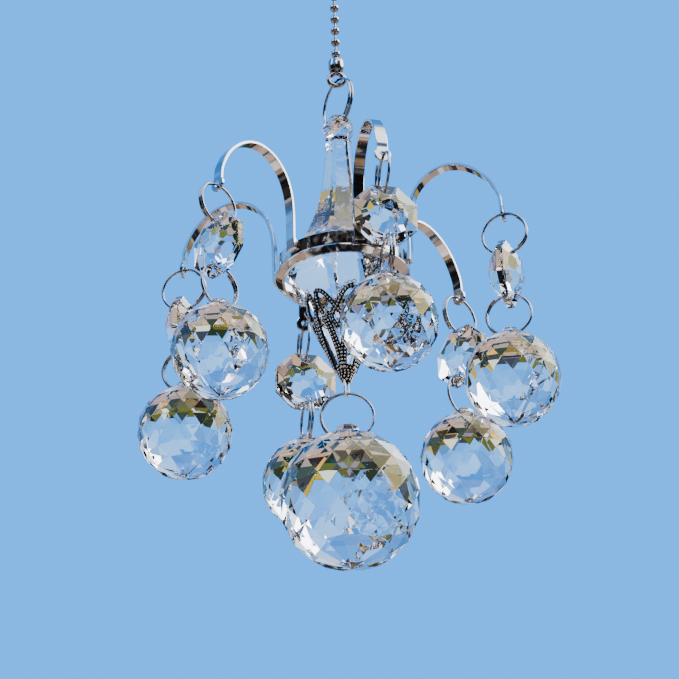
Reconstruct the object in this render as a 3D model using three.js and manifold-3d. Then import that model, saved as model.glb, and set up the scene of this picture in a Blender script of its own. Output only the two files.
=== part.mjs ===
// Hanging crystal suncatcher: a ball chain carries a tall hexagonal crystal in a metal band. Six arms
// rise from the band and curl over, each with a strand of ring, octagon bead, ring and faceted ball.
// A beaded filigree cap holds the crystal's point and carries the largest ball.
// Millimetres, +Z up. The origin is where a hook bears, inside the top of the hanging ring.
import * as THREE from "three";
import { ConvexGeometry } from "three/addons/geometries/ConvexGeometry.js";
import { mergeVertices } from "three/addons/utils/BufferGeometryUtils.js";
import Module from "manifold-3d";

const wasm = await Module();
wasm.setup();

// ---- Driving dimensions ----
const GAP = 0.3; // air left between pieces that rest against each other

const WIRE = 0.29; // radius of every ring's wire
const RING = 4.97; // strand rings, centre of the wire
const BIG_RING = 5.75; // hanging ring and bottom ring
const FINIAL_RING = 6.1; // ring through the crystal's top ball
const RING_TURNS = 1.3; // a split ring laps itself for the last part of its turn
const RING_PITCH = 0.7; // sideways travel of the wire in one turn
const RING_SIDES = 5; // sides of the wire, and steps along it
const RING_STEPS = 16;
const SLACK = 0.12; // a ring's wire lies this far off the middle of the bore it goes through

// Heights are measured from a level a little above the band, about where the arms stand clear of it.
const FINIAL = 33.8; // centre of the crystal's top ball
const FINIAL_R = 3.7;
const FINIAL_CUTS = 8; // corners in each ring of the top ball's cut
const FINIAL_ROWS = [-50, -18, 12, 42, 70]; // latitudes of the rings
const FINIAL_BORE_UP = 1.2;
const FINIAL_BORE_R = 0.95;
const FINIAL_RING_TURN = THREE.MathUtils.degToRad(-59); // the finial ring's plane, from the X axis

const EYE_R = 1.68; // coupling eyes
const EYE_WIRE = 0.6;
const EYE_SUNK = 0.3; // how far an eye's wire is sunk in its bell
const EYE_DOWN = EYE_R + EYE_WIRE - EYE_SUNK; // the eye's centre below the bell's bottom
const BELL_R = 1.8;
const BELL_HEIGHT = 3.2;
const BELL_WALL = 0.35;
const BELL_FLOOR = 0.5;
const BELL_BEAD_UP = 1.85; // the end bead's centre above the bell's bottom
const CHAIN_BEADS = 8;
const CHAIN_BEAD_R = 1.05;
const CHAIN_PITCH = 3.2;
const CHAIN_LINK_R = 0.3;

const ARMS = 6;
const FIRST_ARM = THREE.MathUtils.degToRad(-75.4);
const ARM_WIDTH = 2.5;
const ARM_THICK = 0.75;
const ARM_PEAK = 18.7; // height of the arm's bend
const ARM_REACH = 37.1; // radius of the arm's end eye
const ARM_DROP = 4; // height of the arm's end eye
const ARM_EYE_R = 1.8;
const ARM_BORE_R = 0.7;
const ARM_END_UP = 1.3; // the strip ends this far above the middle of its eye

const BAND_TOP = -1.9;
const BAND_R = 15;
const BAND_WALL = 0.55;
const BAND_RIDGE = 3.3; // height of the band's flat upper strip, down to its ridge
const BAND_TAPER = 0.2; // how far the strip leans in
const BAND_HEIGHT = 4.4;
const BAND_EDGE = 0.1; // how far the ridge's edge is rounded off
const BAND_LIP = 1.6; // how far the bezel under the ridge turns in

const BEAD_FLATS = 14; // octagon bead, across its flats
const BEAD_THICK = 7.4;
const BEAD_BORE_OUT = 5.45; // bores from the bead's middle
const BEAD_BORE_R = 0.68;
const KITE_TILT = THREE.MathUtils.degToRad(33.5); // tilt of the bead's outer facets from its face
const KITE_RISE = 0.82; // distance of a facet's plane beyond half the thickness
const STAR_TILT = THREE.MathUtils.degToRad(21);
const STAR_RISE = 0.45;

const BALL_R = 10.6; // strand balls
const BALL_BORE_UP = 10.95;
const BALL_BORE_R = 0.78;
const BALL_NUB = { base: 3.1, crest: 1.6, top: 12.4 }; // radii and height of the eight-sided nub
const BIG_BALL_R = 15.4; // bottom ball
const BIG_BALL_BORE_UP = 15.15;
const BIG_BALL_BORE_R = 1;
const BIG_BALL_NUB = { base: 4.3, crest: 2, top: 17.95 };
const NUB_SUNK = 0.9; // the nub starts this far up its ball, in radii
const BALL_CUTS = 14; // corners in each ring of a ball's cut
const BALL_ROWS = [-54, -36, -18, 0, 18, 36, 54, 70]; // latitudes of the rings
const POINT_DEPTH = 1.06; // a ball's lowest point, in radii

const PANELS = 5; // filigree panels round the crystal's point
const FIRST_PANEL = THREE.MathUtils.degToRad(-104);
const CAP_TIP = -31.2;
const CAP_TIP_R = 1.25;
const CAP_FLARE = 0.405; // growth of the cap's radius with height
const BAR_R = 0.42; // filigree bars
const TIP_LOOP_BOTTOM = -35.3;
const TIP_LOOP_HALF = 1.1; // half the loop's width outside
const TIP_LOOP_WIRE = 0.55;
const TIP_LOOP_TURN = THREE.MathUtils.degToRad(62); // the loop's plane, from the X axis

const BORE_SIDES = 8;
const RAD = Math.PI / 180;

// ---- Materials ----
const metal = (color, roughness) =>
  new THREE.MeshStandardMaterial({ color, metalness: 1, roughness });
const chrome = () => metal(0xb9bec4, 0.14);
const gunmetal = () => metal(0x6f7076, 0.22);
const antiqueSilver = () => metal(0x77756f, 0.42);
const crystal = () =>
  new THREE.MeshStandardMaterial({
    color: 0xdcecf8,
    metalness: 0,
    roughness: 0.03,
    transparent: true,
    opacity: 0.45,
  });

// ---- Solids ----
// A three.js geometry, closed and free of seams, as a solid.
function solid(geometry) {
  const bare = geometry.clone();
  bare.deleteAttribute("normal");
  bare.deleteAttribute("uv");
  const merged = mergeVertices(bare, 1e-4);
  const triVerts = new Uint32Array(merged.index.array);
  const vertProperties = merged.attributes.position.array;
  return new wasm.Manifold(new wasm.Mesh({ numProp: 3, vertProperties, triVerts }));
}

function geometryOf(body) {
  const mesh = body.getMesh();
  const geometry = new THREE.BufferGeometry();
  geometry.setAttribute("position", new THREE.BufferAttribute(mesh.vertProperties, 3));
  geometry.setIndex(new THREE.BufferAttribute(mesh.triVerts, 1));
  return geometry;
}

const joined = (geometries) => geometries.map(solid).reduce((sum, next) => sum.add(next));

function piece(name, geometry, material) {
  const mesh = new THREE.Mesh(geometry, material);
  mesh.name = name;
  return mesh;
}

// The tool for a bore of radius r along X through the point (0, 0, z).
function bore(r, length, z) {
  return new THREE.CylinderGeometry(r, r, length, BORE_SIDES).rotateZ(Math.PI / 2).translate(0, 0, z);
}

// A LatheGeometry turned so that its profile's second number runs along Z.
function lathed(profile, segments, turn = 0) {
  const points = profile.map(([r, z]) => new THREE.Vector2(r, z));
  return new THREE.LatheGeometry(points, segments, turn).rotateX(Math.PI / 2);
}

const around = (count, start = 0) =>
  Array.from({ length: count }, (_, i) => start + (i * 2 * Math.PI) / count);

// The convex solid bounded by facets, each a unit normal and its distance from the middle. Every corner is
// the dual of one face of the hull around the points normal / distance.
function cutStone(facets) {
  const duals = facets.map(({ normal, distance }) => normal.clone().divideScalar(distance));
  const hull = new ConvexGeometry(duals).attributes.position;
  const corners = new Map();
  const [a, b, c] = [new THREE.Vector3(), new THREE.Vector3(), new THREE.Vector3()];
  for (let i = 0; i < hull.count; i += 3) {
    a.fromBufferAttribute(hull, i);
    b.fromBufferAttribute(hull, i + 1).sub(a);
    c.fromBufferAttribute(hull, i + 2).sub(a);
    const normal = b.cross(c).normalize();
    const corner = normal.divideScalar(normal.dot(a));
    corners.set(corner.toArray().map((v) => v.toFixed(3)).join(" "), corner.clone());
  }
  return new ConvexGeometry([...corners.values()]);
}

// A row of facets round Z, tilted by `polar` from +Z.
function facetRow(count, polar, distance, start = 0) {
  return around(count, start).map((turn) => ({
    normal: new THREE.Vector3().setFromSphericalCoords(1, polar, turn).applyAxisAngle(
      new THREE.Vector3(1, 0, 0), Math.PI / 2),
    distance,
  }));
}

// A ball cut in zigzag belts of triangles: rings of corners, each turned half a step from the next, above
// a point a little lower than the sphere.
function cutBall(radius, count, latitudes) {
  const corners = latitudes.flatMap((latitude, i) => {
    const [ring, z] = [radius * Math.cos(latitude * RAD), radius * Math.sin(latitude * RAD)];
    return around(count, (i * Math.PI) / count).map(
      (turn) => new THREE.Vector3(ring * Math.cos(turn), ring * Math.sin(turn), z),
    );
  });
  return new ConvexGeometry([...corners, new THREE.Vector3(0, 0, -POINT_DEPTH * radius)]);
}

// The low eight-sided nub on a ball's top, which its bore goes through along X.
function nub({ base, crest, top }, bottom) {
  const cone = new THREE.CylinderGeometry(crest, base, top - bottom, 8, 1, false, Math.PI / 8);
  return cone.rotateX(Math.PI / 2).translate(0, 0, (bottom + top) / 2);
}

// ---- Rings and wires ----
// The centre line of a split ring in the XZ plane, starting at the angle `start` from +X.
class SplitRing extends THREE.Curve {
  constructor(radius, start) {
    super();
    this.radius = radius;
    this.start = start;
  }

  getPoint(t, target = new THREE.Vector3()) {
    const turn = this.start + t * RING_TURNS * 2 * Math.PI;
    const side = (t - 0.5) * RING_TURNS * RING_PITCH;
    return target.set(this.radius * Math.cos(turn), side, this.radius * Math.sin(turn));
  }
}

function polygon(radius, sides) {
  return new THREE.Shape(
    around(sides).map((turn) => new THREE.Vector2(radius * Math.cos(turn), radius * Math.sin(turn))),
  );
}

const wire = (path, radius, sides, steps) =>
  new THREE.ExtrudeGeometry(polygon(radius, sides), { extrudePath: path, steps, bevelEnabled: false });

// The lap lies on the ring's side, so that one wire goes through the bores above and below.
function splitRing(radius, onLeft) {
  const lap = (RING_TURNS - 1) * Math.PI;
  return wire(new SplitRing(radius, (onLeft ? Math.PI : 0) - lap), WIRE, RING_SIDES, RING_STEPS);
}

// ---- Chain and couplings ----
// A bell that holds the chain's end bead, open at the top, with a ring eye below it.
function coupling() {
  const inner = BELL_R - BELL_WALL;
  const bell = lathed(
    [
      [0, 0], [BELL_R * 0.7, 0], [BELL_R, 0.7], [BELL_R, BELL_HEIGHT - 0.5], [BELL_R - 0.3, BELL_HEIGHT],
      [BELL_R - 0.75, BELL_HEIGHT], [inner, BELL_HEIGHT - 0.7], [inner, BELL_FLOOR + 0.1], [0, BELL_FLOOR],
    ],
    10,
  );
  const eye = new THREE.TorusGeometry(EYE_R, EYE_WIRE, 5, 14).rotateX(Math.PI / 2);
  eye.translate(0, 0, -EYE_DOWN);
  return geometryOf(joined([bell, eye]));
}

function chain() {
  const beads = Array.from({ length: CHAIN_BEADS }, (_, i) =>
    new THREE.SphereGeometry(CHAIN_BEAD_R, 6, 4).rotateX(Math.PI / 2).translate(0, 0, i * CHAIN_PITCH),
  );
  const length = (CHAIN_BEADS - 1) * CHAIN_PITCH;
  const core = new THREE.CylinderGeometry(CHAIN_LINK_R, CHAIN_LINK_R, length, 4).rotateX(Math.PI / 2);
  return geometryOf(joined([...beads, core.translate(0, 0, length / 2)]));
}

// ---- Crystal, band and arms ----
// A hexagon carried up a trumpet profile, with its edges midway between the arms, under a faceted ball.
function centreCrystal() {
  const profile = [
    [0, -30.2], [0.7, -29.6], [7.9, -11.8], [12.4, -6.6], [13.7, -4.4], [13.7, -2.6], [12.9, -1.1],
    [10.6, 1.4], [8.8, 4.2], [7.3, 7.3], [5.7, 11.6], [4.5, 16.2], [3.9, 19.8], [3.2, 26.3], [3.0, 31],
    [0, 31.6],
  ];
  const ball = cutBall(FINIAL_R, FINIAL_CUTS, FINIAL_ROWS).translate(0, 0, FINIAL);
  const body = joined([lathed(profile, ARMS, FIRST_ARM), ball]);
  const hole = bore(FINIAL_BORE_R, 4 * FINIAL_R, FINIAL + FINIAL_BORE_UP).rotateZ(FINIAL_RING_TURN);
  return geometryOf(body.subtract(solid(hole)));
}

// A hoop with a flat upper strip, and under its ridge a bezel that turns in below the crystal's girdle.
function band() {
  const inside = BAND_R - BAND_WALL;
  const strip = BAND_R - BAND_TAPER;
  return lathed(
    [
      [BAND_R, 0], [inside, 0], [inside - BAND_TAPER, BAND_EDGE - BAND_RIDGE],
      [inside - BAND_LIP, -BAND_HEIGHT], [BAND_R - BAND_LIP, -BAND_HEIGHT],
      [strip + BAND_EDGE, -BAND_RIDGE - BAND_EDGE], [strip, BAND_EDGE - BAND_RIDGE], [BAND_R, 0],
    ],
    30,
  );
}

// The centre line of an arm as (radius, height): up from the band's side, over, and down to the end eye.
function armCurve() {
  const foot = BAND_R + GAP + ARM_THICK / 2;
  return new THREE.SplineCurve(
    [
      [foot - 0.15, -3.9], [foot - 0.1, -2.9], [foot, -0.9], [foot, 5.5], [16.3, 10.4], [18.1, 14.6],
      [21.4, 17.7], [25.6, ARM_PEAK], [30, 17.2], [33.9, 13.6], [36.4, 8.8],
      [ARM_REACH, ARM_DROP + ARM_END_UP],
    ].map(([r, z]) => new THREE.Vector2(r, z)),
  );
}

// A strip bent along the arm's curve, extruded through its width, with a round drilled eye at the end.
function arm() {
  const line = armCurve();
  const steps = 12;
  const side = (offset) =>
    Array.from({ length: steps + 1 }, (_, i) => {
      const tangent = line.getTangentAt(i / steps);
      const across = new THREE.Vector2(-tangent.y, tangent.x);
      return line.getPointAt(i / steps).addScaledVector(across, offset);
    });
  const outline = new THREE.Shape([...side(-ARM_THICK / 2), ...side(ARM_THICK / 2).reverse()]);
  const strip = new THREE.ExtrudeGeometry(outline, { depth: ARM_WIDTH, bevelEnabled: false })
    .translate(0, 0, -ARM_WIDTH / 2)
    .rotateX(Math.PI / 2);
  const eye = new THREE.CylinderGeometry(ARM_EYE_R, ARM_EYE_R, ARM_THICK, 12)
    .rotateZ(Math.PI / 2)
    .translate(ARM_REACH, 0, ARM_DROP);
  return geometryOf(joined([strip, eye]).subtract(solid(bore(ARM_BORE_R, 4 * ARM_REACH, ARM_DROP))));
}

// ---- Filigree cap ----
// The cap hugs the crystal's point: its bars lie this far from the axis at height z.
const capRadius = (z) => CAP_TIP_R + (z - CAP_TIP) * CAP_FLARE;

// A bar laid on the cap through places given as [degrees from the panel's middle, height].
function capBar(middle, places, steps) {
  const points = places.map(([aside, z]) => {
    const turn = middle + aside * RAD;
    return new THREE.Vector3(capRadius(z) * Math.cos(turn), capRadius(z) * Math.sin(turn), z);
  });
  return wire(new THREE.CatmullRomCurve3(points), BAR_R, 3, steps);
}

// Each panel is a heart over a point: an outer edge down each side, a top edge from each tip to the cleft
// between them, and a small drop under the cleft.
function panel(middle) {
  const outer = [[29, -12.1], [31, -15.2], [23, -18.2], [17, -21.5], [9, -25], [3, -28.8]];
  const top = [[29, -12.1], [19, -12.7], [9, -14.6], [0, -16.6]];
  const drop = [[0, -16.4], [10, -18.4], [0, -20.8]];
  return [1, -1].flatMap((side) => {
    const mirrored = (places) => places.map(([aside, z]) => [side * aside, z]);
    return [
      capBar(middle, mirrored(outer), 5),
      capBar(middle, mirrored(top), 3),
      capBar(middle, mirrored(drop), 2),
    ];
  });
}

function filigreeCap() {
  const cone = lathed(
    [[0, -32], [1.0, CAP_TIP], [2.35, -28.2], [1.75, -28.2], [1.15, -29.7], [0.9, -30.6], [0, -30.6]],
    8,
  );
  return geometryOf(joined([cone, tipLoop(), ...around(PANELS, FIRST_PANEL).flatMap(panel)]));
}

// A narrow flat-wire loop cast under the cap's point.
function tipLoop() {
  const top = CAP_TIP - 0.5;
  const low = TIP_LOOP_BOTTOM + TIP_LOOP_HALF;
  const stadium = (r) =>
    new THREE.Path().absarc(0, low, r, Math.PI, 2 * Math.PI).absarc(0, top, r, 0, Math.PI).getPoints(6);
  const shape = new THREE.Shape(stadium(TIP_LOOP_HALF));
  shape.holes.push(new THREE.Path(stadium(TIP_LOOP_HALF - TIP_LOOP_WIRE)));
  return new THREE.ExtrudeGeometry(shape, { depth: TIP_LOOP_WIRE, bevelEnabled: false })
    .translate(0, 0, -TIP_LOOP_WIRE / 2)
    .rotateX(Math.PI / 2)
    .rotateZ(TIP_LOOP_TURN);
}

// ---- Beads and balls ----
// An octagon bead with its faces along X: a table, eight star facets and eight kites on each face.
function octagonBead() {
  const face = [
    ...facetRow(8, KITE_TILT, BEAD_THICK / 2 + KITE_RISE, 0),
    ...facetRow(8, STAR_TILT, BEAD_THICK / 2 + STAR_RISE, Math.PI / 8),
    { normal: new THREE.Vector3(0, 0, 1), distance: BEAD_THICK / 2 },
  ];
  const back = face.map(({ normal, distance }) => ({
    normal: new THREE.Vector3(normal.x, normal.y, -normal.z),
    distance,
  }));
  const stone = cutStone([...face, ...back, ...facetRow(8, Math.PI / 2, BEAD_FLATS / 2, 0)]);
  const body = solid(stone.rotateY(Math.PI / 2));
  return geometryOf(
    [BEAD_BORE_OUT, -BEAD_BORE_OUT].reduce(
      (rest, z) => rest.subtract(solid(bore(BEAD_BORE_R, BEAD_THICK * 2, z))),
      body,
    ),
  );
}

// A faceted ball with its nub, drilled through near the top.
function ball(radius, crown, boreRadius, boreUp) {
  const body = joined([cutBall(radius, BALL_CUTS, BALL_ROWS), nub(crown, NUB_SUNK * radius)]);
  return geometryOf(body.subtract(solid(bore(boreRadius, 2 * radius, boreUp))));
}

const strandBall = () => ball(BALL_R, BALL_NUB, BALL_BORE_R, BALL_BORE_UP);
const bottomBall = () => ball(BIG_BALL_R, BIG_BALL_NUB, BIG_BALL_BORE_R, BIG_BALL_BORE_UP);

// ---- Assembly ----
const suncatcher = new THREE.Group();
const fromLevel = new THREE.Group();
suncatcher.add(fromLevel);

function place(parent, mesh, z = 0, turn = 0) {
  mesh.position.z = z;
  mesh.rotation.z = turn;
  parent.add(mesh);
}

place(fromLevel, piece("centre_crystal", centreCrystal(), crystal()));
place(fromLevel, piece("band", band(), gunmetal()), BAND_TOP);
place(fromLevel, piece("filigree_cap", filigreeCap(), antiqueSilver()));

// Upwards from the crystal: ring, coupling, chain, coupling and hanging ring.
const finialRing = FINIAL + FINIAL_BORE_UP - SLACK * 3 + FINIAL_RING;
const lowerEye = finialRing + FINIAL_RING + EYE_R - EYE_WIRE - WIRE - SLACK;
const lowerBell = lowerEye + EYE_DOWN;
const chainStart = lowerBell + BELL_BEAD_UP;
const upperBell = chainStart + (CHAIN_BEADS - 1) * CHAIN_PITCH + BELL_BEAD_UP;
const upperEye = upperBell + EYE_DOWN;
const hangingRing = upperEye + EYE_R - EYE_WIRE - WIRE - SLACK + BIG_RING;
fromLevel.position.z = WIRE - BIG_RING - hangingRing;
place(fromLevel, piece("finial_ring", splitRing(FINIAL_RING, false), chrome()), finialRing, FINIAL_RING_TURN);
place(fromLevel, piece("lower_coupling", coupling(), chrome()), lowerBell);
place(fromLevel, piece("ball_chain", chain(), chrome()), chainStart);
const upperCoupling = piece("upper_coupling", coupling().rotateX(Math.PI), chrome());
place(fromLevel, upperCoupling, upperBell);
place(fromLevel, piece("hanging_ring", splitRing(BIG_RING, true), chrome()), hangingRing, Math.PI / 2);

// Downwards from the cap: ring and bottom ball.
const bottomRing = TIP_LOOP_BOTTOM + TIP_LOOP_WIRE + SLACK + WIRE - BIG_RING;
place(fromLevel, piece("bottom_ring", splitRing(BIG_RING, true), chrome()), bottomRing);
const bottomBallZ = bottomRing - BIG_RING + 4 * SLACK - BIG_BALL_BORE_UP;
place(fromLevel, piece("bottom_ball", bottomBall(), crystal()), bottomBallZ);

// Arms and their strands, each in a frame of its own whose X axis points outwards.
around(ARMS, FIRST_ARM).forEach((turn, i) => {
  const spoke = new THREE.Group();
  spoke.rotation.z = turn;
  fromLevel.add(spoke);
  place(spoke, piece(`arm_${i + 1}`, arm(), gunmetal()));

  const strand = new THREE.Group();
  strand.position.set(ARM_REACH, 0, ARM_DROP);
  spoke.add(strand);
  const upperRing = -RING - SLACK;
  const bead = upperRing - RING + SLACK - BEAD_BORE_OUT;
  const lowerRing = bead - BEAD_BORE_OUT - RING + SLACK;
  const ballZ = lowerRing - RING + SLACK - BALL_BORE_UP;
  place(strand, piece(`upper_ring_${i + 1}`, splitRing(RING, i % 2 === 0), chrome()), upperRing);
  place(strand, piece(`octagon_bead_${i + 1}`, octagonBead(), crystal()), bead);
  place(strand, piece(`lower_ring_${i + 1}`, splitRing(RING, i % 2 === 1), chrome()), lowerRing);
  place(strand, piece(`strand_ball_${i + 1}`, strandBall(), crystal()), ballZ);
});

export default suncatcher;
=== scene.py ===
"""The looks of a hanging crystal suncatcher: cut stones, plated wire and arms, and a beaded filigree cap,
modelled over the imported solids, with the studio that shows them."""

import math

import bmesh
import bpy
import numpy as np
from mathutils import Matrix, Vector

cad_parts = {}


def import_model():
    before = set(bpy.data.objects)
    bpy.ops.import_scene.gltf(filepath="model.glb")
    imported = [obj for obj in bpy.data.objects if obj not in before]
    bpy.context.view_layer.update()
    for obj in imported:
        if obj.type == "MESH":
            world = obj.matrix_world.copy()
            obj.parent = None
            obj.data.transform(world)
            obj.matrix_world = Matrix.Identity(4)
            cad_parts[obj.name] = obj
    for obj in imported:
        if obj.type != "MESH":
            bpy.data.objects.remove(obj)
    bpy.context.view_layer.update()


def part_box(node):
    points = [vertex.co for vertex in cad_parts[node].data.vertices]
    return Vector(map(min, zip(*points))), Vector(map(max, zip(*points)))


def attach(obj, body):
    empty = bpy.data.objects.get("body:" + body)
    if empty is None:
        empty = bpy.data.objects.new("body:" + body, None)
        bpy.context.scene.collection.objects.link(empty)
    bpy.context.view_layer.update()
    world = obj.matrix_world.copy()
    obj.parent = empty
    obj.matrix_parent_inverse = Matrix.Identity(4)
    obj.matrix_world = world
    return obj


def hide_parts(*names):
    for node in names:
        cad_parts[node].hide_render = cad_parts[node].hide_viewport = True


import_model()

MM = 0.001
TAU = 2 * math.pi


def centre_of(node):
    """The middle of a node's box, in metres."""
    low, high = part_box(node)
    return (low + high) / 2


# ---- Sizes, in millimetres, and places taken from the frame ----
BAND_TOP = -1.9
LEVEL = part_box("band")[1].z / MM - BAND_TOP  # heights are measured from here, a little above the band
ARMS = 6
FIRST_ARM = math.radians(-75.4)
REACH = 37.1  # radius of the arms' end eyes
SPOKES = FIRST_ARM + np.arange(ARMS) * TAU / ARMS  # the way each arm points

WIRE = 0.31  # radius of every ring's wire
RING = 4.97  # strand rings, to the middle of the wire
BIG_RING = 5.75  # bottom ring
HANGING_RING = 5.71
FINIAL_RING = 6.1  # ring through the crystal's top ball
RING_TURNS = 1.3  # a split ring laps itself for the last part of its turn
RING_PITCH = 0.7  # sideways travel of the wire in one turn
FINIAL_RING_TURN = math.radians(-59)  # plane of the finial ring, from the X axis
TIP_LOOP_TURN = math.radians(62)  # plane of the loop under the cap, from the X axis

FINIAL = 33.8  # height of the crystal's top ball
FINIAL_BALL = 3.67
FINIAL_CUTS = 8  # corners in each ring of the top ball's cut
FINIAL_ROWS = (-50, -18, 12, 42, 70)  # latitudes of the rings
FINIAL_BORE = 0.95
FINIAL_BORE_UP = 1.2
CORNER_BEVEL = math.radians(3.4)  # half the turn that each bevelled corner of the crystal takes up

BALL = 10.55  # strand balls
BALL_NUB = (3.1, 1.6, 12.35)  # radii at the foot and near the top, and the top's height
BALL_BORE = (0.78, 10.95)  # radius, and height above the ball's middle
BIG_BALL = 15.35  # bottom ball
BIG_BALL_NUB = (4.3, 2.0, 17.9)
BIG_BALL_BORE = (1.0, 15.15)
BALL_CUTS = 14  # corners in each ring of a ball's cut
BALL_ROWS = (-54, -36, -18, 0, 18, 36, 54, 70)  # latitudes of the rings
POINT_DEPTH = 1.06  # a ball's lowest point, in radii
POINT_LIFT = 0.05  # how far a ball's point stays above that of its solid
NUB_SIDES = 8
NUB_FOOT = 0.9  # where the nub starts, in radii of its ball
NUB_SHOULDER = (1.12, 0.35)  # the nub's widening, and how far under its top that is
NUB_TOP = 0.8

BEAD_FLATS = 13.96  # octagon bead, across its flats
BEAD_THICK = 7.4
BEAD_BORE = 0.68
BEAD_BORE_OUT = 5.45  # bores from the bead's middle
KITE_TILT = 33.5  # tilt in degrees of the bead's outer facets from its face
KITE_RISE = 0.8  # distance of a facet's plane beyond half the thickness
STAR_TILT = 21
STAR_RISE = 0.45

EDGE = 0.09  # width of the polished bevels
BIG_EDGE = 0.12
DRILL_SIDES = 20


# ---- Meshes from arrays ----
def made(name, vertices, faces, material, angle=None):
    """A piece from vertex and face arrays in millimetres. With an angle it is shaded smooth, but sharp where
    two faces meet more steeply than that."""
    mesh = bpy.data.meshes.new(name)
    mesh.from_pydata((np.asarray(vertices, float) * MM).tolist(), [], faces)
    mesh.validate()
    piece = bpy.data.objects.new(name, mesh)
    bpy.context.scene.collection.objects.link(piece)
    mesh.materials.append(material)
    shade(mesh, angle)
    return piece


def shade(mesh, angle):
    """Smooth shading, but flat across edges steeper than the angle in degrees."""
    if angle is not None:
        mesh.polygons.foreach_set("use_smooth", np.ones(len(mesh.polygons), bool))
        mesh.set_sharp_from_angle(angle=math.radians(angle))
    mesh.update()


def turned(points, turn):
    """Points turned about Z."""
    c, s = math.cos(turn), math.sin(turn)
    return np.asarray(points) @ np.array([[c, s, 0], [-s, c, 0], [0, 0, 1]])


def unit(vectors):
    """Vectors of length 1."""
    return vectors / np.linalg.norm(vectors, axis=-1, keepdims=True)


def evenly(count):
    """Angles evenly round a full turn."""
    return np.arange(count) * TAU / count


def grid_faces(rows, columns, wrap_rows=False):
    """Quads of a grid whose vertex (i, j) has the number i * columns + j. The columns run right round."""
    i = np.arange(rows if wrap_rows else rows - 1)[:, None]
    j = np.arange(columns)[None, :]
    i2, j2 = (i + 1) % rows, (j + 1) % columns
    quads = [i * columns + j, i * columns + j2, i2 * columns + j2, i2 * columns + j]
    return np.stack(np.broadcast_arrays(*quads), -1).reshape(-1, 4)


def tube_faces(rows, columns, closed):
    """Quads of a tube as lists, with its first and last rows as flat ends unless it closes on itself."""
    faces = grid_faces(rows, columns, wrap_rows=closed).tolist()
    if not closed:
        faces += [list(range(columns))[::-1], list(range((rows - 1) * columns, rows * columns))]
    return faces


def merged(parts):
    """Several (vertices, faces) as one pair."""
    vertices, faces, count = [], [], 0
    for v, f in parts:
        vertices.append(np.asarray(v).reshape(-1, 3))
        faces += [[n + count for n in face] for face in f]
        count += len(vertices[-1])
    return np.concatenate(vertices), faces


def swept(path, section, reference, closed=False):
    """A section carried along a path, with flat ends: vertex = path + side * u + front * v, where
    side = reference x tangent and front = tangent x side. The section runs against the clock."""
    path = np.asarray(path, float)
    section = np.broadcast_to(section, (len(path),) + np.shape(section)[-2:])
    if closed:
        tangent = unit(np.roll(path, -1, 0) - np.roll(path, 1, 0))
    else:
        tangent = unit(np.gradient(path, axis=0))
    side = unit(np.cross(np.broadcast_to(reference, path.shape), tangent))
    front = np.cross(tangent, side)
    grid = path[:, None] + side[:, None] * section[..., :1] + front[:, None] * section[..., 1:]
    return grid.reshape(-1, 3), tube_faces(*grid.shape[:2], closed)


def disc(radius, sides):
    """A circle as a section."""
    turn = evenly(sides)
    return radius * np.stack([np.cos(turn), np.sin(turn)], -1)


def lathe(profile, angle, closed=True):
    """A profile of (radius, height) turned round Z through some angles: vertex = (r cos a, r sin a, z)."""
    profile = np.asarray(profile, float)
    ring = np.stack([np.cos(angle), np.sin(angle)], -1)
    heights = np.repeat(profile[:, None, 1:], len(angle), 1)
    grid = np.concatenate([profile[:, None, :1] * ring[None], heights], -1)
    return grid.reshape(-1, 3), tube_faces(*grid.shape[:2], closed)


def smooth_line(points, count):
    """Points on a Catmull-Rom curve through the given ones: with u the way from one point to the next,
    p = (2 b + (c - a) u + (2a - 5b + 4c - d) u^2 + (3b - 3c + d - a) u^3) / 2."""
    points = np.asarray(points, float)
    ends = np.vstack([2 * points[:1] - points[1:2], points, 2 * points[-1:] - points[-2:-1]])
    t = np.linspace(0, len(points) - 1, count)
    i = np.minimum(t.astype(int), len(points) - 2)
    u = (t - i)[:, None]
    a, b, c, d = ends[i], ends[i + 1], ends[i + 2], ends[i + 3]
    return (2 * b + (c - a) * u + (2 * a - 5 * b + 4 * c - d) * u**2 + (3 * b - 3 * c + d - a) * u**3) / 2


def grains(centres, radius, sides=6, rings=4):
    """Small round grains of two dozen faces: one coarse sphere, p = centre + R (sin a cos b, sin a sin b,
    cos a), copied to every centre."""
    polar = np.linspace(0, math.pi, rings + 1)[1:-1, None]
    turn = evenly(sides)[None]
    belt = np.stack(
        [np.sin(polar) * np.cos(turn), np.sin(polar) * np.sin(turn), np.cos(polar) * np.ones_like(turn)], -1
    ).reshape(-1, 3)
    ball = np.vstack([belt, [[0, 0, 1], [0, 0, -1]]])
    quads = grid_faces(rings - 1, sides)[:, ::-1]
    top, bottom, last = len(belt), len(belt) + 1, (rings - 2) * sides
    j = np.arange(sides)
    after = (j + 1) % sides
    caps = np.vstack([
        np.stack([np.full(sides, top), j, after], -1),
        np.stack([np.full(sides, bottom), last + after, last + j], -1),
    ])
    vertices = np.asarray(centres)[:, None] + ball[None] * radius
    shift = np.arange(len(centres))[:, None, None] * len(ball)
    faces = (quads + shift).reshape(-1, 4).tolist() + (caps + shift).reshape(-1, 3).tolist()
    return vertices.reshape(-1, 3), faces


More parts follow.
